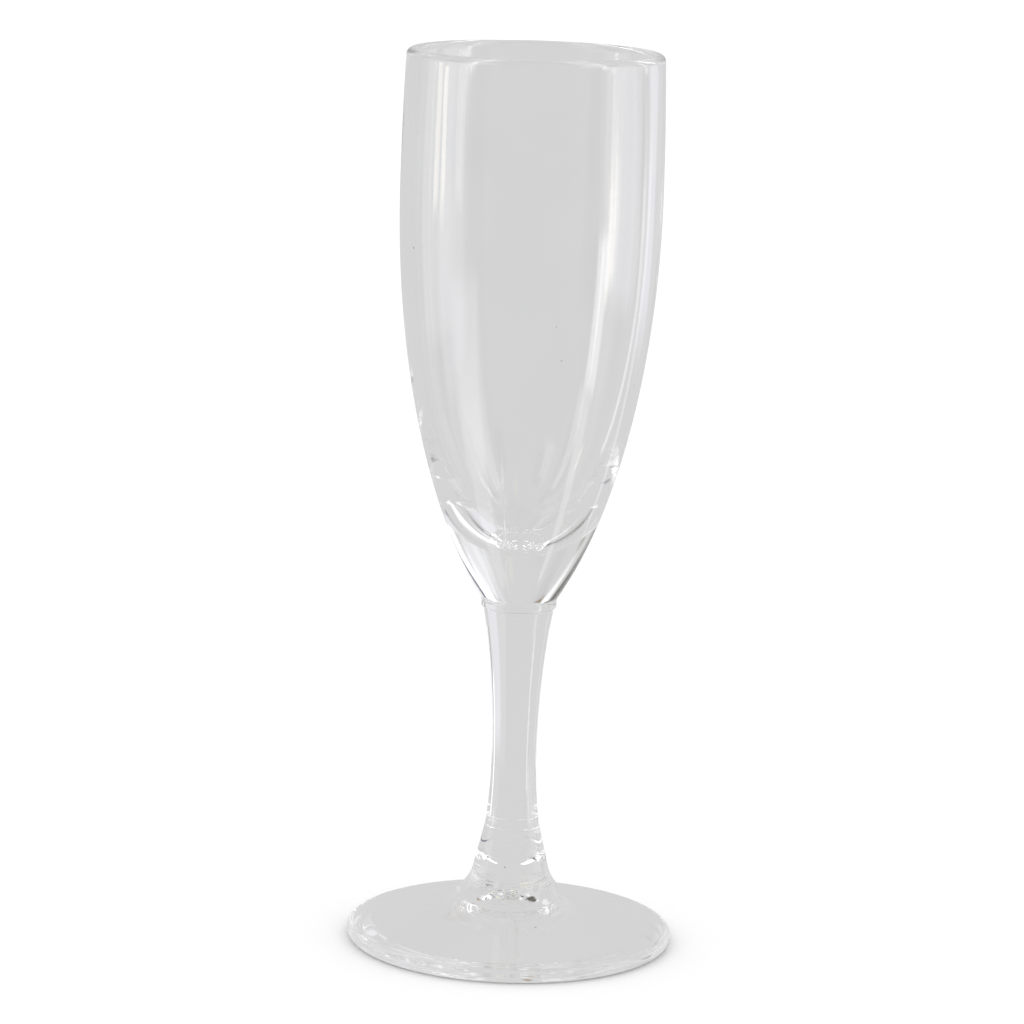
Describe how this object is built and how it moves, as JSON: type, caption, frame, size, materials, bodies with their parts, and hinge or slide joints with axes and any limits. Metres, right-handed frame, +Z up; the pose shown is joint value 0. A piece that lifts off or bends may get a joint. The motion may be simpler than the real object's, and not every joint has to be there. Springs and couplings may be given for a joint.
{
  "type": "champagne flute",
  "caption": "Clear glass flute: tall blown bowl with a rounded rim and solid base, short waisted stem and a domed round foot that rests on a flat ring.",
  "frame": {"origin": "On the axis of the glass, in the plane its foot rests on.", "axes": "+Z runs up the axis from the foot to the rim. The glass is round, so +X and +Y are any two level directions."},
  "size_m": [0.062, 0.062, 0.17],
  "materials": {
    "bowl_glass": "clear blown glass, fire polished",
    "stem_glass": "clear solid glass, fire polished",
    "foot_glass": "clear pressed glass, with a faint mould seam"
  },
  "bodies": {
    "root": {"bowl": "bowl_glass", "stem": "stem_glass", "foot": "foot_glass"}
  },
  "joints": []
}
